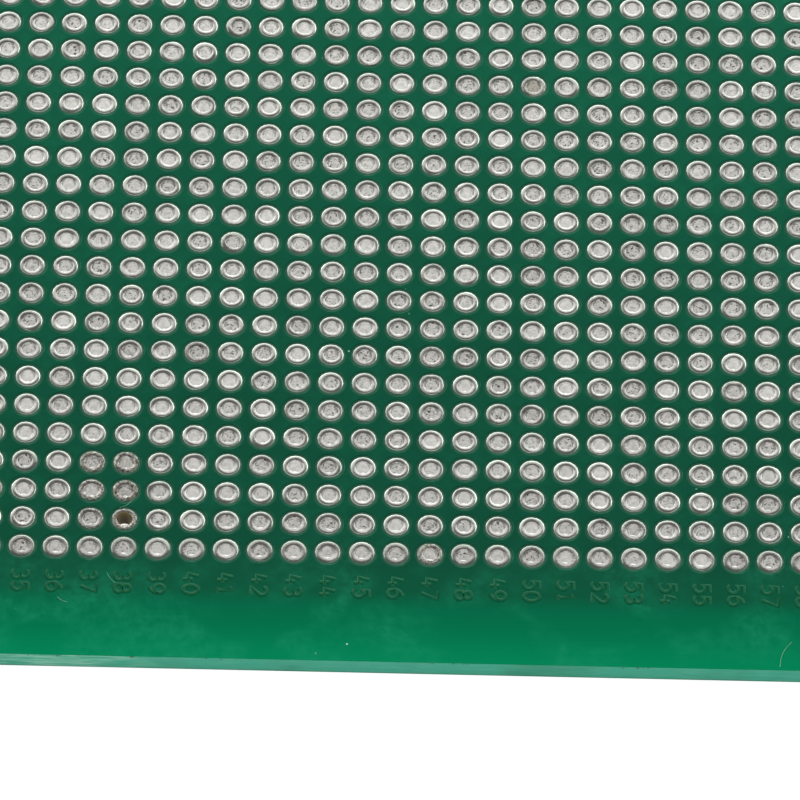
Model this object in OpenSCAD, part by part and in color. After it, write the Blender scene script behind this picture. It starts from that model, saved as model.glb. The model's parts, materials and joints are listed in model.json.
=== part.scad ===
// Bare circuit board: a double-sided prototyping board with a square grid of plated, tinned holes.
// Millimetres. +X runs along the rows in the order of the column numbers, +Y runs away from the front
// edge and +Z points out of the component face. The origin is under the middle of the board, on the
// surface that the board lies on.

/* [Board] */
// Length along the rows
board_l = 180; // [60:1:300]
// Width across the rows
board_w = 70; // [40:1:300]
// Thickness of the glass-epoxy core
core_t = 1.53; // [0.4:0.01:3.2]

/* [Hole grid] */
// Distance between hole centres, both ways
pitch = 2.54; // [2:0.01:5.08]
// Plain margin kept between the outermost hole centres and the edges of the board, at least
margin_min = 9.3; // [8.5:0.1:20]

/* [Plated holes] */
// Diameter of a finished, plated hole
hole_d = 1.1; // [0.6:0.05:1.3]
// Wall of the copper and solder lining in a hole
lining_t = 0.06; // [0.03:0.01:0.15]
// Bare width between the tinned lands of neighbouring holes
land_gap = 0.6; // [0.4:0.02:0.9]
// Height of the solder crest above the face of the core
crest_h = 0.1; // [0.05:0.01:0.2]
// Height of the solder at the mouth of the hole
mouth_h = 0.04; // [0.02:0.01:0.05]

/* [Mounting holes] */
// Diameter of a finished corner hole
corner_hole_d = 3.2; // [2:0.1:4]
// Diameter of the tinned ring round a corner hole
corner_land_d = 6; // [5:0.1:7]
// Distance from the centre of a corner hole to both edges
corner_inset = 5; // [4:0.1:6]

/* [Solder mask] */
// Thickness of the lacquer on each face
mask_t = 0.03; // [0.01:0.01:0.05]
// Bare gap between a land and the lacquer round it
mask_gap = 0.14; // [0.05:0.01:0.15]

/* [Hidden] */
$fn = 32;
core_z = crest_h;                                  // underside of the core, clear of the table by a crest
face_z = core_z + core_t;                          // component face of the core
cols = floor((board_l - 2 * margin_min) / pitch + 0.001) + 1;
rows = floor((board_w - 2 * margin_min) / pitch + 0.001) + 1;
left_cols = floor(cols / 2);
land_d = pitch - land_gap;                         // tinned land round a hole
corner_x = board_l / 2 - corner_inset;
corner_y = board_w / 2 - corner_inset;
crest_at = 0.45;                                   // where the crest lies, from the mouth to the rim

function col_x(i) = (i - (cols - 1) / 2) * pitch;
function row_y(j) = (j - (rows - 1) / 2) * pitch;

// Children at every hole of the columns from the first to the last given
module at_holes(first = 0, last = cols - 1) {
  for (i = [first:last], j = [0:rows - 1])
    translate([col_x(i), row_y(j)]) children();
}

// Children at the four corner holes
module at_corners() {
  for (x = [-corner_x, corner_x], y = [-corner_y, corner_y])
    translate([x, y]) children();
}

// The board's outline with round openings at the grid and at the corners
module sheet(grid_d, corner_d) {
  difference() {
    square([board_l, board_w], center = true);
    at_holes() circle(d = grid_d);
    at_corners() circle(d = corner_d);
  }
}

// A lined hole with a solder-crested land on both faces, as one turned solid
module eyelet(bore_d, rim_d) {
  bore = bore_d / 2;
  rim = rim_d / 2;
  wall = bore + lining_t;
  crest = bore + crest_at * (rim - bore);
  rotate_extrude() polygon([
    [bore, core_z - mouth_h], [crest, core_z - crest_h], [rim, core_z], [wall, core_z],
    [wall, face_z], [rim, face_z], [crest, face_z + crest_h], [bore, face_z + mouth_h]
  ]);
}

module laminate() {
  color("#4f9d7b") translate([0, 0, core_z])
    linear_extrude(core_t) sheet(hole_d + 2 * lining_t, corner_hole_d + 2 * lining_t);
}

// A coat of lacquer that stops short of every land
module solder_mask() {
  linear_extrude(mask_t) sheet(land_d + 2 * mask_gap, corner_land_d + 2 * mask_gap);
}

module solder_mask_front() {
  color("#174a38") translate([0, 0, face_z]) solder_mask();
}

module solder_mask_back() {
  color("#174a38") translate([0, 0, core_z - mask_t]) solder_mask();
}

module plated_holes_left() {
  color("#b9bcbb") at_holes(0, left_cols - 1) eyelet(hole_d, land_d);
}

module plated_holes_right() {
  color("#b9bcbb") at_holes(left_cols, cols - 1) eyelet(hole_d, land_d);
}

module corner_rings() {
  color("#b9bcbb") at_corners() eyelet(corner_hole_d, corner_land_d);
}

laminate();
solder_mask_front();
solder_mask_back();
plated_holes_left();
plated_holes_right();
corner_rings();
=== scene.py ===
import json
import math
import random
import bmesh
import bpy
import numpy as np
from mathutils import Matrix, Vector, noise


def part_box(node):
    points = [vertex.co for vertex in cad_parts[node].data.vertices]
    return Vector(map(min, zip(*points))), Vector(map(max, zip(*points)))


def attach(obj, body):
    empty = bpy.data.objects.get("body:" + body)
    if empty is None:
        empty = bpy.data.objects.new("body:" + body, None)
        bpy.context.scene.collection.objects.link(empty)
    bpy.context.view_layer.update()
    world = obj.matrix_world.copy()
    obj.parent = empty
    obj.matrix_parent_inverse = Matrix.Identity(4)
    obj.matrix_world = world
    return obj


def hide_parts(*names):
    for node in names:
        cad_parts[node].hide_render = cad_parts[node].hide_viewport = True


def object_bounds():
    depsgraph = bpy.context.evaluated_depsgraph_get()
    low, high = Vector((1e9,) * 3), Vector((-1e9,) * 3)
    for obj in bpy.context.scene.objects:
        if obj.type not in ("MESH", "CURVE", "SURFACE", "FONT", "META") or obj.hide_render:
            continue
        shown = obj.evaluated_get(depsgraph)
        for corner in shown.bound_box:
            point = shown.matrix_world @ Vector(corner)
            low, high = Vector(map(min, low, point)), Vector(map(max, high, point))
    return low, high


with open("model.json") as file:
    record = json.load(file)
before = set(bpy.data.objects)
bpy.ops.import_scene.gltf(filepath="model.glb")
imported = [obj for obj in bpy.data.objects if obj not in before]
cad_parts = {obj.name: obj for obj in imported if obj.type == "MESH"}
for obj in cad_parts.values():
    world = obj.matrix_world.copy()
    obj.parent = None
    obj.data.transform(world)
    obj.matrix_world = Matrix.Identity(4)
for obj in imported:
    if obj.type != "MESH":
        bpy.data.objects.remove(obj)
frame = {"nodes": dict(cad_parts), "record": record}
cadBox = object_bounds()
coreLow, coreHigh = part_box("laminate")
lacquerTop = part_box("solder_mask_front")[1][2]
cornerPattern = frame["record"]["mounts"][0]["dims"]
print("frame loaded:", ", ".join(sorted(frame["nodes"])))

mm = 0.001
grid = {
    "pitch": 2.54 * mm,  # between hole centres, both ways
    "columns": 64,
    "rows": 21,
    "pieces": 4,  # blocks of columns, each light enough for one mesh
    "cornerX": cornerPattern["spacing_x_mm"] * mm / 2,
    "cornerY": cornerPattern["spacing_y_mm"] * mm / 2,
}


def columnX(column):  # columns are numbered from 1, along +X
    return (column - (grid["columns"] + 1) / 2) * grid["pitch"]


def rowY(row):  # rows are counted from 1, at the front edge
    return (row - (grid["rows"] + 1) / 2) * grid["pitch"]


# Camera, surroundings, lamps and floor

view = {
    "target": (34.46 * mm, -11.62 * mm),  # on the component face
    "distance": 736.6 * mm,
    "elevation": 56.15,  # angles are in degrees
    "turn": 1.41,  # from +Y towards +X
    "roll": 2.43,
    "lens": 439.4,
    "clip": (0.01, 20),
}


def makeCamera():
    data = bpy.data.cameras.new("camera")
    data.lens = view["lens"]
    data.clip_start, data.clip_end = view["clip"]
    camera = bpy.data.objects.new("camera", data)
    bpy.context.collection.objects.link(camera)
    bpy.context.scene.camera = camera
    elevation, turn = math.radians(view["elevation"]), math.radians(view["turn"])
    forward = Vector((math.sin(turn) * math.cos(elevation), math.cos(turn) * math.cos(elevation),
                      -math.sin(elevation)))
    target = Vector((*view["target"], lacquerTop))
    aim = forward.to_track_quat("-Z", "Y").to_matrix().to_4x4()
    camera.matrix_world = (Matrix.Translation(target - forward * view["distance"]) @ aim
                           @ Matrix.Rotation(math.radians(view["roll"]), 4, "Z"))


def linearColour(hexText):  # sRGB hex to linear, with full alpha
    channels = [int(hexText[i:i + 2], 16) / 255 for i in (1, 3, 5)]
    return [c / 12.92 if c <= 0.04045 else ((c + 0.055) / 1.055) ** 2.4 for c in channels] + [1]


# in settings, "stops" fill a colour ramp, small first letters mean the node itself, and the rest are sockets
def addNode(tree, kind, settings=None, links=None):
    node = tree.nodes.new("ShaderNode" + kind)
    for name, value in (settings or {}).items():
        if name == "stops":
            while len(node.color_ramp.elements) < len(value):
                node.color_ramp.elements.new(1)
            for element, (position, shade) in zip(node.color_ramp.elements, value):
                element.position = position
                element.color = linearColour(shade) if isinstance(shade, str) else [shade] * 3 + [1]
        elif isinstance(name, str) and name[0].islower():
            setattr(node, name, value)
        else:
            node.inputs[name].default_value = linearColour(value) if isinstance(value, str) else value
    for name, source in (links or {}).items():
        tree.links.new(source if isinstance(source, bpy.types.NodeSocket) else source.outputs[0],
                       node.inputs[name])
    return node


surround = {  # a soft room, brightest at the back; its levels run from the horizon, 0, to overhead, 1
    "back": [(0, 2.6), (0.2, 2.6), (0.4, 1.5), (0.6, 0.97), (0.77, 0.9), (0.805, 0.79), (0.845, 0.36),
             (0.9, 0.22), (1, 0.16)],
    "rest": [(0, 0.7), (0.5, 0.65), (0.75, 0.18), (1, 0.16)],
    "behind": 0.93,
    # the bright side leans right low down and left high up
    "swing": {"From Min": 0.3, "From Max": 0.8, "To Min": 0.3, "To Max": -0.36},
    "fade": {"interpolation_type": "SMOOTHSTEP", "From Min": 0.05, "From Max": 0.6},
}


def makeWorld():
    world = bpy.data.worlds.new("softRoom")
    bpy.context.scene.world = world
    world.use_nodes = True
    tree = world.node_tree
    tree.nodes.clear()
    direction = addNode(tree, "SeparateXYZ", links={0: addNode(tree, "TexCoord").outputs["Generated"]})
    x, y, z = direction.outputs
    byHeight = addNode(tree, "ValToRGB", {"stops": surround["back"]}, {"Fac": z})
    swing = addNode(tree, "MapRange", surround["swing"], {"Value": z})
    sideways = addNode(tree, "Math", {"operation": "MULTIPLY"}, {0: x, 1: swing})
    facing = addNode(tree, "Math", {"operation": "MULTIPLY_ADD", 1: surround["behind"]},
                     {0: y, 2: sideways})
    behind = addNode(tree, "MapRange", surround["fade"], {"Value": facing})
    back = addNode(tree, "Math", {"operation": "MULTIPLY"}, {0: byHeight, 1: behind})
    rest = addNode(tree, "ValToRGB", {"stops": surround["rest"]}, {"Fac": z})
    level = addNode(tree, "Math", {"operation": "MAXIMUM"}, {0: back, 1: rest})
    seen = addNode(tree, "LightPath").outputs["Is Camera Ray"]
    light = addNode(tree, "Background", links={"Color": level})
    white = addNode(tree, "Background", {"Color": "#ffffff"})
    mixed = addNode(tree, "MixShader", links={0: seen, 1: light, 2: white})
    addNode(tree, "OutputWorld", links={"Surface": mixed})


lamps = {  # name: (place, size, watts), in metres; shiny surfaces mirror the room instead
    "topLight": ((0.1, 0.25, 0.9), 0.9, 6.5),
    "backLight": ((0.25, 0.95, 0.55), 0.5, 2),
    "frontFill": ((0.05, -0.7, 0.07), 0.5, 1.2),
}


def makeLamps():
    for name, (place, size, watts) in lamps.items():
        data = bpy.data.lights.new(name, "AREA")
        data.size = size
        data.energy = watts
        lamp = bpy.data.objects.new(name, data)
        bpy.context.collection.objects.link(lamp)
        lamp.location = place
        lamp.rotation_euler = (-Vector(place)).to_track_quat("-Z", "Y").to_euler()
        lamp.visible_camera = False
        lamp.visible_glossy = False


def finishMesh(bm, name, material=None):
    mesh = bpy.data.meshes.new(name)
    bm.to_mesh(mesh)
    bm.free()
    piece = bpy.data.objects.new(name, mesh)
    bpy.context.collection.objects.link(piece)
    if material:
        mesh.materials.append(material)
    return piece


paperFloor = {
    "reach": 6, "paper": "#e8e8e6", "backdrop": "#999999",
    "straight": 0.9,  # its glow seen straight on, and mirrored by the solder from front to back
    "mirrored": {"From Min": coreLow[1], "From Max": coreHigh[1], "To Min": 0.72, "To Max": 1},
}


def makeFloor():
    bm = bmesh.new()
    bmesh.ops.create_grid(bm, x_segments=1, y_segments=1, size=paperFloor["reach"])
    floor = finishMesh(bm, "floor")
    material = bpy.data.materials.new("palePaper")  # matt and white, with the board's soft shadow
    material.use_nodes = True
    tree = material.node_tree
    tree.nodes.clear()
    paper = addNode(tree, "BsdfDiffuse", {"Color": paperFloor["paper"]})
    thin = addNode(tree, "BsdfDiffuse", {"Color": paperFloor["backdrop"]})
    path = addNode(tree, "LightPath").outputs
    y = addNode(tree, "SeparateXYZ", links={0: addNode(tree, "TexCoord").outputs["Object"]}).outputs[1]
    mirrored = addNode(tree, "MapRange", paperFloor["mirrored"], {"Value": y})
    bright = addNode(tree, "MapRange", {"To Min": paperFloor["straight"]},
                     {"Value": path["Is Glossy Ray"], "To Max": mirrored})
    glow = addNode(tree, "Emission", {"Color": "#ffffff"}, {"Strength": bright})
    backdrop = addNode(tree, "AddShader", links={0: thin, 1: glow})
    seen = addNode(tree, "Math", {"operation": "MAXIMUM"},
                   {0: path["Is Camera Ray"], 1: path["Is Glossy Ray"]})
    seen = addNode(tree, "Math", {"operation": "MAXIMUM"}, {0: seen, 1: path["Is Transmission Ray"]})
    mixed = addNode(tree, "MixShader", links={0: seen, 1: paper, 2: backdrop})
    addNode(tree, "OutputMaterial", links={"Surface": mixed})
    floor.data.materials.append(material)


# Materials

def startMaterial(name):
    material = bpy.data.materials.new(name)
    material.use_nodes = True
    tree = material.node_tree
    tree.nodes.clear()
    shader = addNode(tree, "BsdfPrincipled")
    addNode(tree, "OutputMaterial", links={"Surface": shader})
    place = addNode(tree, "TexCoord").outputs["Object"]
    return material, tree, shader, place


solder = {
    "light": "#e2e2dc", "dark": "#b6b5af", "oxide": "#625946", "pit": "#2a2823", "bareWall": "#8a7a45",
    "barrel": "#f4f3f4", "rim": "#e4f8ea",  # a tint inside a hole, and a painted green reflection of the lacquer towards a rim
    "cloud": 0.45 * mm, "cloudContrast": 1.6,
    "grain": 0.16 * mm, "patches": {"From Min": 0.36, "From Max": 0.64},
    "mark": 0.22 * mm, "pits": {"From Min": 0.57, "From Max": 0.63},
    "pitTones": {"From Min": 0.28, "From Max": 0.55},  # the darker the solder, the more pits
    "roughness": (0.03, 0.13), "wornRoughness": 0.25, "specular": 0.1,
    "bump": 0.007 * mm, "grainLumps": 0.35, "holeLumps": 2.5, "wornLumps": 2.5, "cloudLumps": 0.8,
}
eyeletValues = ("tone", "wear", "bare", "inside", "rim")  # attributes of the solder's mesh, each from 0 to 1


def solderMaterial():  # hot-air-levelled tin-lead solder: a soft, faintly frosted shine with pinholes
    material, tree, shader, place = startMaterial("hotAirLevelledSolder")
    tone, wear, bare, inside, rim = (addNode(tree, "Attribute", {"attribute_name": name}).outputs["Fac"]
                                     for name in eyeletValues)
    cloud = addNode(tree, "TexNoise", {"Scale": 1 / solder["cloud"], "Detail": 3}, {"Vector": place})
    grain = addNode(tree, "TexNoise", {"Scale": 1 / solder["grain"], "Detail": 3}, {"Vector": place})
    contrast = solder["cloudContrast"]
    shade = addNode(tree, "Math", {"operation": "MULTIPLY_ADD", 1: contrast, 2: -contrast / 2}, {0: cloud})
    shade = addNode(tree, "Math", {"operation": "ADD", "use_clamp": True}, {0: shade, 1: tone})
    metal = addNode(tree, "MixRGB", {"Color1": solder["light"], "Color2": solder["dark"]}, {"Fac": shade})
    metal = addNode(tree, "MixRGB", {"blend_type": "MULTIPLY", "Color2": solder["barrel"]},
                    {"Fac": inside, "Color1": metal})
    # towards the rim the metal is tinted green: a painted reflection of the lacquer
    metal = addNode(tree, "MixRGB", {"blend_type": "MULTIPLY", "Color2": solder["rim"]},
                    {"Fac": rim, "Color1": metal})
    patches = addNode(tree, "MapRange", solder["patches"], {"Value": grain})
    dull = addNode(tree, "Math", {"operation": "MULTIPLY"}, {0: patches, 1: wear})
    worn = addNode(tree, "MixRGB", {"Color2": solder["oxide"]}, {"Fac": dull, "Color1": metal})
    marks = addNode(tree, "TexNoise", {"Scale": 1 / solder["mark"], "Detail": 3, "Distortion": 0.8},
                    {"Vector": place})
    pit = addNode(tree, "MapRange", solder["pits"], {"Value": marks})
    chosen = addNode(tree, "MapRange", solder["pitTones"], {"Value": tone})
    pit = addNode(tree, "Math", {"operation": "MULTIPLY"}, {0: pit, 1: chosen})
    pit = addNode(tree, "Math", {"operation": "MULTIPLY"}, {0: pit, 1: inside})
    pitted = addNode(tree, "MixRGB", {"Color2": solder["pit"]}, {"Fac": pit, "Color1": worn})
    walled = addNode(tree, "MixRGB", {"Color2": solder["bareWall"]}, {"Fac": bare, "Color1": pitted})
    tree.links.new(walled.outputs[0], shader.inputs["Base Color"])
    least, most = solder["roughness"]
    rough = addNode(tree, "Math", {"operation": "MULTIPLY_ADD", 1: most - least, 2: least}, {0: cloud})
    rough = addNode(tree, "Math", {"operation": "MULTIPLY_ADD", 1: solder["wornRoughness"]},
                    {0: wear, 2: rough})
    tree.links.new(rough.outputs[0], shader.inputs["Roughness"])
    metallic = addNode(tree, "Math", {"operation": "SUBTRACT", 0: 1}, {1: bare})
    tree.links.new(metallic.outputs[0], shader.inputs["Metallic"])
    shader.inputs["Specular IOR Level"].default_value = solder["specular"]
    lumps = addNode(tree, "Math", {"operation": "MULTIPLY_ADD", 1: solder["holeLumps"],
                                   2: solder["grainLumps"]}, {0: inside})
    lumps = addNode(tree, "Math", {"operation": "MULTIPLY_ADD", 1: solder["wornLumps"]},
                    {0: wear, 2: lumps})
    height = addNode(tree, "Math", {"operation": "MULTIPLY"}, {0: grain, 1: lumps})
    height = addNode(tree, "Math", {"operation": "MULTIPLY_ADD", 1: solder["cloudLumps"]},
                     {0: cloud, 2: height})
    bump = addNode(tree, "Bump", {"Strength": 1, "Distance": solder["bump"]}, {"Height": height})
    tree.links.new(bump.outputs[0], shader.inputs["Normal"])
    return material


def aroundHoles(tree, x, y):  # in pitches: offset from the nearest hole and its length, large off the grid
    offsets, beyond = [], []
    for along, count in ((x, grid["columns"]), (y, grid["rows"])):  # an odd count has a hole on the axis
        cell = addNode(tree, "Math", {"operation": "MULTIPLY_ADD", 1: 1 / grid["pitch"], 2: count % 2 / 2},
                       {0: along})
        part = addNode(tree, "Math", {"operation": "FRACT"}, {0: cell})
        offsets.append(addNode(tree, "Math", {"operation": "SUBTRACT", 1: 0.5}, {0: part}))
        size = addNode(tree, "Math", {"operation": "ABSOLUTE"}, {0: along})
        beyond.append(addNode(tree, "Math", {"operation": "GREATER_THAN", 1: count * grid["pitch"] / 2},
                              {0: size}))
    offset = addNode(tree, "CombineXYZ", links={0: offsets[0], 1: offsets[1]})
    away = addNode(tree, "VectorMath", {"operation": "LENGTH"}, {0: offset}).outputs["Value"]
    outside = addNode(tree, "Math", {"operation": "MAXIMUM"}, {0: beyond[0], 1: beyond[1]})
    return offset, addNode(tree, "Math", {"operation": "ADD"}, {0: away, 1: outside})


ringFade = {"From Min": -0.4, "From Max": 0.4}  # in pitches, from the weak side of a ring to the strong one


def ringRound(tree, offset, reach, radius, width, towards):  # a thin painted highlight ring, strongest on one side
    beside = addNode(tree, "Math", {"operation": "SUBTRACT", 1: radius / grid["pitch"]}, {0: reach})
    beside = addNode(tree, "Math", {"operation": "ABSOLUTE"}, {0: beside})
    highlightLine = addNode(tree, "MapRange", {"From Max": width / grid["pitch"], "To Min": 1, "To Max": 0},
                   {"Value": beside})
    sided = addNode(tree, "VectorMath", {"operation": "DOT_PRODUCT", 1: (*towards, 0)}, {0: offset})
    sided = addNode(tree, "MapRange", ringFade, {"Value": sided.outputs["Value"]})
    return addNode(tree, "Math", {"operation": "MULTIPLY"}, {0: highlightLine, 1: sided})


lacquer = {
    "glowDepth": [(0, "#00744b"), (0.1, "#007048"), (0.3, "#00643f"), (0.5, "#025a3c"), (0.64, "#0a4931"),
              (0.95, "#0d402e")],  # from an edge inwards: painted glow, the lacquer lighter near an edge where the light core shines through
    "margin": 9.5 * mm,
    "hazeAndSheen": "#1f8864", "hazeSize": 5.5 * mm, "hazePatches": {"From Min": 0.42, "From Max": 0.62},
    "hazeAmount": {"From Min": 5 * mm, "From Max": 11 * mm, "To Min": 0.32, "To Max": 0.08},  # by the margin
    "wispSize": 0.9 * mm, "wisps": {"From Min": 0.35, "From Max": 0.65, "To Min": 0.1},
    "backSheen": {"From Min": -0.3 * coreHigh[1], "From Max": coreHigh[1], "To Max": 0.14},  # painted sheen, paler at the back towards the light
    "dust": "#9fd0b8", "dustSpacing": 2.2 * mm, "dustChance": {"From Min": 0.7},
    "dustSize": {"From Min": 0.022, "From Max": 0.042, "To Min": 1, "To Max": 0},
    # the line is a painted highlight, pale on the side towards the light
    "highlightLine": "#76ab92", "highlightAt": 1.15 * mm, "highlightWidth": 0.04 * mm, "highlightTowards": (0.9, -0.5),
    "highlightBreaks": {"From Min": 0.4, "From Max": 0.62, "To Min": 0.04, "To Max": 0.26},
    "opening": 1.11 * mm, "rounding": 0.07 * mm, "bump": 0.015 * mm, "peel": 0.5 * mm, "peelShare": 0.25,
    "roughness": 0.2, "shine": "#10ffc0", "gloss": 0.24,
}


def lacquerMaterial():  # photo-imaged epoxy solder mask: a dark green, even gloss with a cloudy depth
    material, tree, shader, place = startMaterial("photoImagedSolderMask")
    x, y, z = addNode(tree, "SeparateXYZ", links={0: place}).outputs
    alongX = addNode(tree, "Math", {"operation": "ABSOLUTE"}, {0: x})
    alongY = addNode(tree, "Math", {"operation": "ABSOLUTE"}, {0: y})
    fromEnd = addNode(tree, "Math", {"operation": "SUBTRACT", 0: coreHigh[0]}, {1: alongX})
    fromSide = addNode(tree, "Math", {"operation": "SUBTRACT", 0: coreHigh[1]}, {1: alongY})
    # painted glow: the lacquer is coloured lighter near every edge of the board
    fromEdge = addNode(tree, "Math", {"operation": "MINIMUM"}, {0: fromEnd, 1: fromSide})
    glowDepth = addNode(tree, "Math", {"operation": "DIVIDE", 1: lacquer["margin"]}, {0: fromEdge})
    green = addNode(tree, "ValToRGB", {"stops": lacquer["glowDepth"]}, {"Fac": glowDepth})

    clouds = addNode(tree, "TexNoise", {"Scale": 1 / lacquer["hazeSize"], "Detail": 2, "Distortion": 0.6},
                     {"Vector": place})
    wisps = addNode(tree, "TexNoise", {"Scale": 1 / lacquer["wispSize"], "Detail": 5, "Roughness": 0.65},
                    {"Vector": place})
    amount = addNode(tree, "MapRange", lacquer["hazeAmount"], {"Value": fromEdge})
    veil = addNode(tree, "MapRange", lacquer["hazePatches"], {"Value": clouds, "To Max": amount})
    torn = addNode(tree, "MapRange", lacquer["wisps"], {"Value": wisps})
    hazeAndSheen = addNode(tree, "Math", {"operation": "MULTIPLY"}, {0: veil, 1: torn})
    # painted sheen: the haze colour is mixed in more towards the back, where the light comes from
    backSheen = addNode(tree, "MapRange", lacquer["backSheen"], {"Value": y})
    hazeAndSheen = addNode(tree, "Math", {"operation": "ADD"}, {0: hazeAndSheen, 1: backSheen})
    hazeAndSheenMix = addNode(tree, "MixRGB", {"Color2": lacquer["hazeAndSheen"]}, {"Fac": hazeAndSheen, "Color1": green})

    cells = addNode(tree, "TexVoronoi", {"Scale": 1 / lacquer["dustSpacing"]}, {"Vector": place})
    near = addNode(tree, "MapRange", lacquer["dustSize"], {"Value": cells.outputs["Distance"]})
    lottery = addNode(tree, "SeparateColor", links={"Color": cells.outputs["Color"]}).outputs[0]
    chosen = addNode(tree, "MapRange", lacquer["dustChance"], {"Value": lottery})
    speck = addNode(tree, "Math", {"operation": "MULTIPLY"}, {0: near, 1: chosen})
    dusty = addNode(tree, "MixRGB", {"Color2": lacquer["dust"]}, {"Fac": speck, "Color1": hazeAndSheenMix})
    shader.inputs["Roughness"].default_value = lacquer["roughness"]
    shader.inputs["Specular Tint"].default_value = linearColour(lacquer["shine"])
    shader.inputs["Specular IOR Level"].default_value = lacquer["gloss"]

    # round every land, the lacquer has a thin painted highlight line, strongest on one side, and is rounded
    # down into its opening
    offset, reach = aroundHoles(tree, x, y)
    highlightLine = ringRound(tree, offset, reach, lacquer["highlightAt"], lacquer["highlightWidth"], lacquer["highlightTowards"])
    broken = addNode(tree, "MapRange", lacquer["highlightBreaks"], {"Value": wisps})
    highlightLine = addNode(tree, "Math", {"operation": "MULTIPLY"}, {0: highlightLine, 1: broken})
    highlighted = addNode(tree, "MixRGB", {"Color2": lacquer["highlightLine"]}, {"Fac": highlightLine, "Color1": dusty})
    tree.links.new(highlighted.outputs[0], shader.inputs["Base Color"])

    opening = lacquer["opening"] / grid["pitch"]
    rise = addNode(tree, "MapRange", {"interpolation_type": "SMOOTHSTEP", "From Min": opening,
                                      "From Max": opening + lacquer["rounding"] / grid["pitch"]},
                   {"Value": reach})
    peel = addNode(tree, "TexNoise", {"Scale": 1 / lacquer["peel"], "Detail": 2}, {"Vector": place})
    height = addNode(tree, "Math", {"operation": "MULTIPLY_ADD", 1: lacquer["peelShare"]},
                     {0: peel, 2: rise})
    bump = addNode(tree, "Bump", {"Strength": 1, "Distance": lacquer["bump"]}, {"Height": height})
    tree.links.new(bump.outputs[0], shader.inputs["Normal"])
    return material


core = {
    "sawn": "#37a487", "pale": "#93cdb6", "dull": "#2c9376", "darkArris": "#3d4a38", "face": "#0d4633",
    # the foot line is a painted highlight round each land on the core's face, strongest on one side
    "footHighlight": "#567561", "footHighlightAt": 1.0 * mm, "footHighlightWidth": 0.045 * mm, "footHighlightTowards": (0.7, -0.7),
    "thread": 0.25 * mm, "stretch": (0.1, 0.1, 1), "patch": 7 * mm, "dullAt": 0.35, "sawnAt": 0.5,
    "palePlace": 9 * mm,  # where the saw left the glass threads bare on the front side
    "paleAmount": {"From Max": 9 * mm, "To Min": 1, "To Max": 0.1},
    "paleStreaks": {"From Min": 0.38, "From Max": 0.66},
    "arris": 0.13 * mm, "nick": 0.35 * mm, "nicks": {"From Min": 0.33, "From Max": 0.38}, "darkFoot": 0.4,
    "roughness": 0.5, "specular": 0.2, "bump": 0.015 * mm, "bumpStrength": 0.6,
}


def coreMaterial():  # glass-epoxy laminate: translucent green, with pale glass threads along a sawn side
    material, tree, shader, place = startMaterial("glassEpoxyLaminate")
    x, y, z = addNode(tree, "SeparateXYZ", links={0: place}).outputs
    normal = addNode(tree, "TexCoord").outputs["Normal"]
    upward = addNode(tree, "SeparateXYZ", links={0: normal}).outputs[2]
    upward = addNode(tree, "Math", {"operation": "ABSOLUTE"}, {0: upward})
    flat = addNode(tree, "Math", {"operation": "GREATER_THAN", 1: 0.5}, {0: upward})
    stretch = addNode(tree, "Mapping", {"Scale": core["stretch"]}, {"Vector": place})
    threads = addNode(tree, "TexNoise", {"Scale": 1 / core["thread"], "Detail": 4}, {"Vector": stretch})
    patches = addNode(tree, "TexNoise", {"Scale": 1 / core["patch"], "Detail": 3}, {"Vector": place})
    stops = [(core["dullAt"], core["dull"]), (core["sawnAt"], core["sawn"])]
    side = addNode(tree, "ValToRGB", {"stops": stops}, {"Fac": patches})

    aside = addNode(tree, "Math", {"operation": "SUBTRACT", 1: core["palePlace"]}, {0: x})
    aside = addNode(tree, "Math", {"operation": "ABSOLUTE"}, {0: aside})
    bare = addNode(tree, "MapRange", core["paleAmount"], {"Value": aside})
    streak = addNode(tree, "MapRange", core["paleStreaks"], {"Value": threads})
    pale = addNode(tree, "Math", {"operation": "MULTIPLY"}, {0: bare, 1: streak})
    side = addNode(tree, "MixRGB", {"Color2": core["pale"]}, {"Fac": pale, "Color1": side})

    fromTop = addNode(tree, "Math", {"operation": "SUBTRACT", 0: coreHigh[2]}, {1: z})
    fromBottom = addNode(tree, "Math", {"operation": "SUBTRACT", 1: coreLow[2]}, {0: z})
    nicks = addNode(tree, "TexNoise", {"Scale": 1 / core["nick"], "Detail": 3}, {"Vector": place})
    rare = addNode(tree, "Math", {"operation": "MULTIPLY"}, {0: nicks, 1: patches})
    chipped = addNode(tree, "MapRange", core["nicks"], {"Value": rare})
    arris = core["arris"]
    atTop = addNode(tree, "MapRange", {"From Min": arris, "From Max": 2 * arris, "To Min": 1, "To Max": 0},
                    {"Value": fromTop})
    # the sawn side is darker along its bottom edge
    atBottom = addNode(tree, "MapRange", {"From Min": arris / 2, "From Max": arris,
                                          "To Min": core["darkFoot"], "To Max": 0}, {"Value": fromBottom})
    darkArris = addNode(tree, "Math", {"operation": "MULTIPLY"}, {0: chipped, 1: atTop})
    darkArris = addNode(tree, "Math", {"operation": "MAXIMUM"}, {0: darkArris, 1: atBottom})
    side = addNode(tree, "MixRGB", {"Color2": core["darkArris"]}, {"Fac": darkArris, "Color1": side})
    offset, reach = aroundHoles(tree, x, y)
    # painted highlight: a pale line round each land on the core's face, strongest on one side
    footHighlight = ringRound(tree, offset, reach, core["footHighlightAt"], core["footHighlightWidth"], core["footHighlightTowards"])
    face = addNode(tree, "MixRGB", {"Color1": core["face"], "Color2": core["footHighlight"]}, {"Fac": footHighlight})
    colour = addNode(tree, "MixRGB", links={"Fac": flat, "Color1": side, "Color2": face})
    tree.links.new(colour.outputs[0], shader.inputs["Base Color"])
    shader.inputs["Roughness"].default_value = core["roughness"]
    shader.inputs["Specular IOR Level"].default_value = core["specular"]
    bump = addNode(tree, "Bump", {"Strength": core["bumpStrength"], "Distance": core["bump"]},
                   {"Height": threads})
    tree.links.new(bump.outputs[0], shader.inputs["Normal"])
    return material


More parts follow.
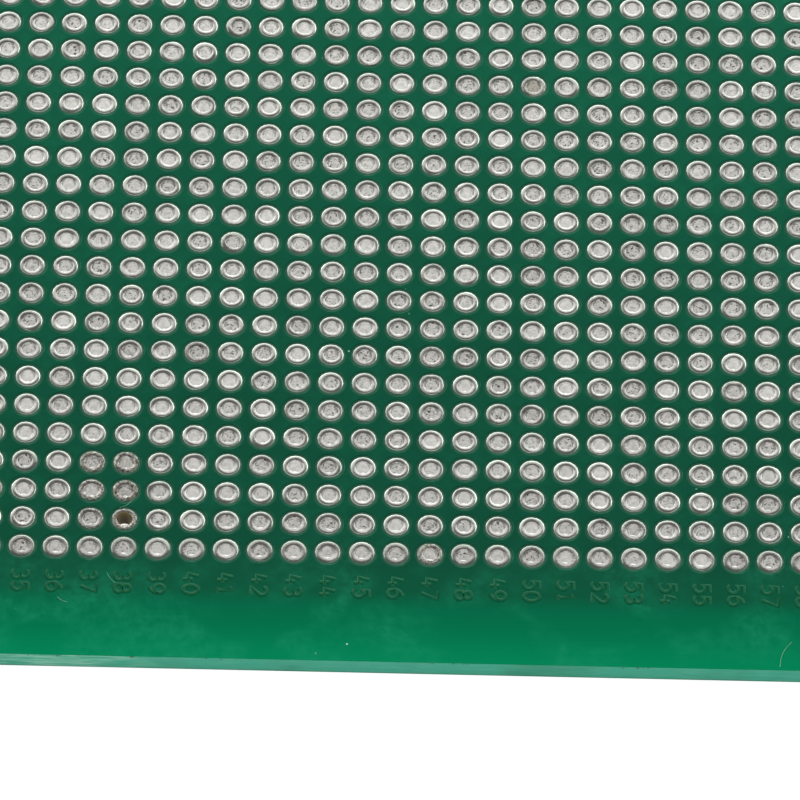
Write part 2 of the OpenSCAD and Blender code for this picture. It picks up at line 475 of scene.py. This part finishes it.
legend = {
    "stroke": "#26542f", "shadowHalo": "#07563b",  # a painted shadow, a wider dark halo, lies under each stroke
    "grain": 0.4 * mm, "grainShade": lacquer["glowDepth"][4][1],
}


def legendMaterial(name, shade):  # copper tracks under the lacquer, and the painted shadow round them: the numbers only just show through
    material, tree, shader, place = startMaterial(name)
    grain = addNode(tree, "TexNoise", {"Scale": 1 / legend["grain"], "Detail": 3}, {"Vector": place})
    colour = addNode(tree, "MixRGB", {"Color1": shade, "Color2": legend["grainShade"]}, {"Fac": grain})
    tree.links.new(colour.outputs[0], shader.inputs["Base Color"])
    shader.inputs["Roughness"].default_value = lacquer["roughness"]
    shader.inputs["Specular Tint"].default_value = linearColour(lacquer["shine"])
    shader.inputs["Specular IOR Level"].default_value = lacquer["gloss"]
    return material


fluff = {"pale": "#86bd9f", "dim": "#2f8560", "grain": 0.3 * mm, "roughness": 0.7}


def fibreMaterial():  # stray lint, half lit along its length
    material, tree, shader, place = startMaterial("strayLint")
    grain = addNode(tree, "TexNoise", {"Scale": 1 / fluff["grain"]}, {"Vector": place})
    colour = addNode(tree, "MixRGB", {"Color1": fluff["pale"], "Color2": fluff["dim"]}, {"Fac": grain})
    tree.links.new(colour.outputs[0], shader.inputs["Base Color"])
    shader.inputs["Roughness"].default_value = fluff["roughness"]
    return material


# Plated holes: heights are from the core's face, and a funnel leads down into the hole

landCurve = {"funnel": 2.4, "outer": 5}  # how late the solder bends on either side of its crest
samePlace, offFace = 1e-7, 1e-6  # metres
boreMargin = 0.03 * mm  # this close to the bore still counts as inside the hole
eyelet = {
    "segments": 16,  # few, because there are 1344 of them
    "bore": 0.545 * mm, "crestAt": 0.745 * mm, "rim": 0.95 * mm, "wall": 0.61 * mm,
    "front": {"crest": 0.08 * mm, "edge": 0.004 * mm, "funnel": 0.05 * mm, "lip": 0.022 * mm,
              "lipSteps": 1, "funnelSteps": 4, "outerSteps": 4},
    "back": {"crest": coreLow[2], "edge": 0.03 * mm, "funnel": 0.02 * mm, "lip": 0.1 * mm,
             "lipSteps": 1, "funnelSteps": 1, "outerSteps": 1},  # the board lies on its back crests
}
ring = {
    "segments": 48,
    "bore": 1.6 * mm, "crestAt": 2.1 * mm, "rim": 3.0 * mm, "wall": 1.66 * mm,
    "front": {"crest": 0.07 * mm, "edge": 0.01 * mm, "funnel": 0.05 * mm, "lip": 0.1 * mm,
              "lipSteps": 3, "funnelSteps": 3, "outerSteps": 6},
    "back": {"crest": coreLow[2], "edge": 0.01 * mm, "funnel": 0.05 * mm, "lip": 0.1 * mm,
             "lipSteps": 3, "funnelSteps": 3, "outerSteps": 3},
}


def landPoints(size, side):  # (radius, height) from the bore to the foot of the rim
    mouth, dip = size["bore"] + side["lip"], side["crest"] - side["funnel"]
    turns = [math.radians(90 * (1 - step / side["lipSteps"])) for step in range(side["lipSteps"])]
    lip = [(mouth - side["lip"] * math.sin(turn), dip - side["lip"] * (1 - math.cos(turn))) for turn in turns]
    shares = [1 - step / side["funnelSteps"] for step in range(side["funnelSteps"])]
    funnel = [(size["crestAt"] - (size["crestAt"] - mouth) * share,
               side["crest"] - side["funnel"] * share ** landCurve["funnel"]) for share in shares]
    shares = [step / side["outerSteps"] for step in range(side["outerSteps"] + 1)]
    outer = [(size["crestAt"] + (size["rim"] - size["crestAt"]) * share,
              side["crest"] - (side["crest"] - side["edge"]) * share ** landCurve["outer"])
             for share in shares]
    return lip + funnel + outer + [(size["rim"], 0)]


def spinEyelet(size):  # the closed outline of lining and lands, turned about the hole's axis
    front = [(r, coreHigh[2] + height) for r, height in landPoints(size, size["front"])]
    back = [(r, coreLow[2] - height) for r, height in landPoints(size, size["back"])]
    outline = front + [(size["wall"], coreHigh[2]), (size["wall"], coreLow[2])] + back[::-1]
    bm = bmesh.new()
    points = [bm.verts.new((r, 0, z)) for r, z in outline]
    edges = [bm.edges.new(pair) for pair in zip(points, points[1:] + points[:1])]
    bmesh.ops.spin(bm, geom=points + edges, cent=(0, 0, 0), axis=(0, 0, 1), angle=math.tau,
                   steps=size["segments"], use_merge=True)
    bmesh.ops.remove_doubles(bm, verts=bm.verts, dist=samePlace)
    bmesh.ops.recalc_face_normals(bm, faces=bm.faces)
    bm.verts.index_update()
    for elements in (bm.edges, bm.faces):  # spin leaves these in another order each time
        elements.sort(key=lambda element: min(v.index for v in element.verts) * len(bm.verts)
                      + max(v.index for v in element.verts))
    for face in bm.faces:
        face.smooth = True
    crisp = (size["rim"], size["bore"], size["wall"])
    for edge in bm.edges:  # round the foot of the rim, both ends of the bore and the wall
        radii = [math.hypot(v.co.x, v.co.y) for v in edge.verts]
        level = abs(edge.verts[0].co.z - edge.verts[1].co.z) < samePlace
        edge.smooth = not (level and any(all(abs(r - limit) < samePlace for r in radii) for limit in crisp))
    mesh = bpy.data.meshes.new("eyelet")
    bm.to_mesh(mesh)
    bm.free()
    for name in eyeletValues:
        mesh.attributes.new(name, "FLOAT", "POINT")
    return mesh


worn = {  # (column, row): (how dull and rough, how far the lining has gone)
    (37, 4): (0.85, 0), (38, 4): (1.0, 0), (37, 3): (0.9, 0), (38, 3): (1.0, 0), (37, 2): (0.6, 0),
    (38, 2): (0.8, 1), (47, 1): (0.8, 0), (35, 1): (0.35, 0), (36, 1): (0.2, 0), (38, 1): (0.2, 0),
    (51, 15): (0.25, 0), (51, 14): (0.35, 0), (52, 15): (0.2, 0), (57, 14): (0.4, 0), (50, 18): (0.3, 0.25),
    (53, 5): (0.3, 0),
}
shape = {  # how the holes differ, in shares of a land's height or radius where no unit is given
    "lift": 0.12, "lean": (0.03, 0.06), "leanTowards": math.radians(-75), "leanSpread": 0.5,
    "crestShift": 0.05 * mm, "spread": 0.03, "waves": (2, 3, 4), "ripple": 0.06, "rippleSpread": 0.4,
    "rough": 0.045 * mm, "roughScale": 9000, "roughShift": 0.2, "roughSeed": 1, "eaten": 0.08,
    "firstRow": {"build": 0.55, "wear": 0.1},  # the solder lies flatter and duller there
    "tone": (0.45, 0.15), "toneLimits": (0.2, 0.75), "rarelyWorn": 30, "mostWear": 0.4, "cleanInside": 0.6,
}


def shapeEyelet(base, size, chance, wear, bare, build):  # solder sets a little differently in every hole
    points = base.copy()
    radius = np.hypot(base[:, 0], base[:, 1])
    angle = np.arctan2(base[:, 1], base[:, 0])
    across = np.clip((radius - size["bore"]) / (size["rim"] - size["bore"]), 0, 1)
    lift = chance.gauss(1, shape["lift"])
    towards = shape["leanTowards"] + chance.gauss(0, shape["leanSpread"])
    lean = chance.gauss(*shape["lean"])
    ripple = sum(chance.gauss(0, shape["ripple"]) * np.cos(waves * angle + chance.uniform(0, math.tau))
                 for waves in shape["waves"])
    scale = lift * (1 + lean * np.cos(angle - towards)) + ripple
    top, bottom = coreHigh[2], coreLow[2]
    above = base[:, 2] > top + offFace
    below = base[:, 2] < bottom - offFace
    points[above, 2] = np.minimum(top + (base[above, 2] - top) * build * scale[above], cadBox[1][2])
    points[below, 2] = np.maximum(bottom + (base[below, 2] - bottom) * scale[below], 0)
    swell = np.sin(np.pi * across) * above
    shift = shape["crestShift"] * np.cos(angle - towards) / radius
    spread = 1 + (chance.gauss(0, shape["spread"]) + ripple * shape["rippleSpread"] + shift) * swell
    spread += bare * shape["eaten"] * (radius < size["bore"] + boreMargin)
    points[:, :2] *= spread[:, None]
    if wear > 0:
        for i in np.nonzero(above)[0]:
            aside = Vector((chance.random(), 0, 0)) * shape["roughShift"]
            jolt = noise.noise_vector(Vector(points[i]) * shape["roughScale"] + aside)
            points[i] += np.array(jolt) * shape["rough"] * wear
            points[i, 2] = min(points[i, 2], cadBox[1][2])
    return points


def makePlatedHoles(name, columns, node, material):
    chance = random.Random(columns[0])
    master = spinEyelet(eyelet)
    count = len(master.vertices)
    base = np.empty(count * 3)
    master.vertices.foreach_get("co", base)
    base = base.reshape(-1, 3)
    radius = np.hypot(base[:, 0], base[:, 1])
    inside = (radius < eyelet["bore"] + boreMargin).astype(float)
    # the share towards the rim, which masks the solder's painted green reflection of the lacquer
    rim = np.clip((radius - eyelet["crestAt"]) / (eyelet["rim"] - eyelet["crestAt"]), 0, 1) ** 2
    bm = bmesh.new()
    for column in columns:
        for row in range(1, grid["rows"] + 1):
            wear, bare = worn.get((column, row), (0, 0))
            wear = max(wear, chance.random() ** shape["rarelyWorn"] * shape["mostWear"])
            build = 1
            if row == 1:
                build, wear = shape["firstRow"]["build"], max(wear, shape["firstRow"]["wear"])
            points = shapeEyelet(base, eyelet, chance, wear, bare, build)
            points[:, 0] += columnX(column)
            points[:, 1] += rowY(row)
            master.vertices.foreach_set("co", points.ravel())
            tone = np.full(count, np.clip(chance.gauss(*shape["tone"]), *shape["toneLimits"]))
            dull = wear * (1 - shape["cleanInside"] * inside)
            for attribute, data in zip(eyeletValues, (tone, dull, inside * bare, inside, rim)):
                master.attributes[attribute].data.foreach_set("value", data)
            bm.from_mesh(master)
    piece = finishMesh(bm, name, material)
    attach(piece, "root")
    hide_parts(node)


def makeCornerRings(material):
    master = spinEyelet(ring)
    bm = bmesh.new()
    last = Vector((0, 0, 0))
    for x in (-grid["cornerX"], grid["cornerX"]):
        for y in (-grid["cornerY"], grid["cornerY"]):
            place = Vector((x, y, 0))
            master.transform(Matrix.Translation(place - last))
            last = place
            bm.from_mesh(master)
    piece = finishMesh(bm, "cornerRings", material)
    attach(piece, "root")
    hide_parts("corner_rings")


# Column numbers and lint

def strokesToMesh(name, strokes, thickness, flatness, level, material):
    curve = bpy.data.curves.new(name, "CURVE")
    curve.dimensions = "3D"
    curve.bevel_depth = thickness
    curve.bevel_resolution = 1
    for stroke in strokes:
        closed = stroke[0] == stroke[-1]
        spline = curve.splines.new("POLY")
        points = stroke[:-1] if closed else stroke
        spline.points.add(len(points) - 1)
        spline.use_cyclic_u = closed
        for point, place in zip(spline.points, points):
            point.co = (*place, 0, 1)
    drawn = bpy.data.objects.new(name + "Curve", curve)
    mesh = bpy.data.meshes.new_from_object(drawn)
    bpy.data.objects.remove(drawn)
    mesh.transform(Matrix.Translation((0, 0, level)) @ Matrix.Diagonal((1, 1, flatness, 1)))
    mesh.materials.clear()
    mesh.materials.append(material)
    piece = bpy.data.objects.new(name, mesh)
    bpy.context.collection.objects.link(piece)
    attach(piece, "root")


arcStep = 26  # degrees between the points of a curved stroke


def arc(centreX, centreY, radiusX, radiusY, start, end):  # both ends of a full turn are one point
    steps = math.ceil(abs(end - start) / arcStep)
    turns = [math.radians(start + (end - start) * step / steps) for step in range(steps + 1)]
    points = [(centreX + radiusX * math.cos(turn), centreY + radiusY * math.sin(turn)) for turn in turns]
    return points[:-1] + points[:1] if abs(end - start) == 360 else points


# the strokes of each digit, in a square one unit wide and high
six = [arc(0.5, 0.31, 0.48, 0.31, 0, 360), arc(0.86, 0.36, 0.84, 0.62, 100, 178)]
digits = {
    "0": [arc(0.5, 0.5, 0.5, 0.5, 0, 360)],
    "1": [[(0.15, 0.8), (0.5, 1), (0.5, 0)], [(0.15, 0), (0.85, 0)]],
    "2": [arc(0.5, 0.71, 0.47, 0.29, 165, -35) + [(0.03, 0), (0.97, 0)]],
    "3": [arc(0.47, 0.76, 0.43, 0.24, 155, -90), arc(0.47, 0.26, 0.5, 0.26, 90, -150)],
    "4": [[(0.35, 1), (0.04, 0.33), (1, 0.33)], [(0.7, 0.62), (0.7, 0)]],
    "5": [[(0.92, 1), (0.16, 1), (0.1, 0.55)] + arc(0.47, 0.32, 0.5, 0.32, 125, -145)],
    "6": six,
    "7": [[(0, 1), (1, 1), (0.35, 0)]],
    "8": [arc(0.5, 0.76, 0.41, 0.24, 0, 360), arc(0.5, 0.26, 0.5, 0.26, 0, 360)],
    "9": [[(1 - x, 1 - y) for x, y in stroke] for stroke in six],
}
numbers = {
    "height": 1.15 * mm, "width": 0.78 * mm, "step": 1.06 * mm, "fromRow": 3.07 * mm,
    "stroke": 0.09 * mm, "shadowHalo": 0.17 * mm, "strokeRise": 0.008 * mm, "shadowHaloRise": 0.004 * mm,
}


def makeColumnNumbers():  # read from the holes outwards, with their tops towards +X
    strokes = []
    for column in range(1, grid["columns"] + 1):
        text = str(column)
        for place, digit in enumerate(text):
            middle = rowY(1) - numbers["fromRow"] - (place - (len(text) - 1) / 2) * numbers["step"]
            for stroke in digits[digit]:
                strokes.append([(columnX(column) + (up - 0.5) * numbers["height"],
                                 middle - (across - 0.5) * numbers["width"]) for across, up in stroke])
    # the wider, darker halos are a painted shadow round the strokes
    strokesToMesh("numberShadows", strokes, numbers["shadowHalo"], numbers["shadowHaloRise"] / numbers["shadowHalo"],
                  lacquerTop, legendMaterial("paintedShadowUnderNumbers", legend["shadowHalo"]))
    strokesToMesh("columnNumbers", strokes, numbers["stroke"], numbers["strokeRise"] / numbers["stroke"],
                  lacquerTop, legendMaterial("lacquerOverCopper", legend["stroke"]))


lint = {  # both ends of each thread and how far it bows to one side, in mm
    "threads": [((12.80, -27.70), (13.42, -28.57), -0.06), ((9.18, -29.92), (9.90, -30.34), -0.08),
                ((62.9, -34.7), (63.8, -32.5), 0.25), ((13.58, -21.88), (14.49, -21.2), -0.12)],
    "thickness": 0.02 * mm, "pieces": 8,
}


def makeLint():
    strokes = []
    for first, last, bow in lint["threads"]:
        first, last = Vector(first) * mm, Vector(last) * mm
        aside = (last - first).orthogonal().normalized() * bow * mm
        shares = [step / lint["pieces"] for step in range(lint["pieces"] + 1)]
        strokes.append([tuple(first.lerp(last, share) + aside * math.sin(math.pi * share))
                        for share in shares])
    strokesToMesh("lint", strokes, lint["thickness"], 1, lacquerTop + lint["thickness"] / 2, fibreMaterial())


makeCamera()
makeWorld()
makeLamps()
makeFloor()
print("camera, lamps and floor made")

solderFinish = solderMaterial()
lacquerFinish = lacquerMaterial()
frame["nodes"]["solder_mask_front"].data.materials[0] = lacquerFinish
frame["nodes"]["solder_mask_back"].data.materials[0] = lacquerFinish
frame["nodes"]["laminate"].data.materials[0] = coreMaterial()
print("materials made")

noise.seed_set(shape["roughSeed"])  # it would start from the clock otherwise
block = grid["columns"] // grid["pieces"]
for part in range(grid["pieces"]):
    columns = range(part * block + 1, (part + 1) * block + 1)
    node = "plated_holes_left" if part < grid["pieces"] / 2 else "plated_holes_right"
    makePlatedHoles(f"platedHoles{columns[0]}to{columns[-1]}", columns, node, solderFinish)
print("plated holes made")
makeCornerRings(solderFinish)
print("corner rings made")
makeColumnNumbers()
makeLint()
print("column numbers and lint made")

bpy.context.scene.view_settings.view_transform = "Standard"
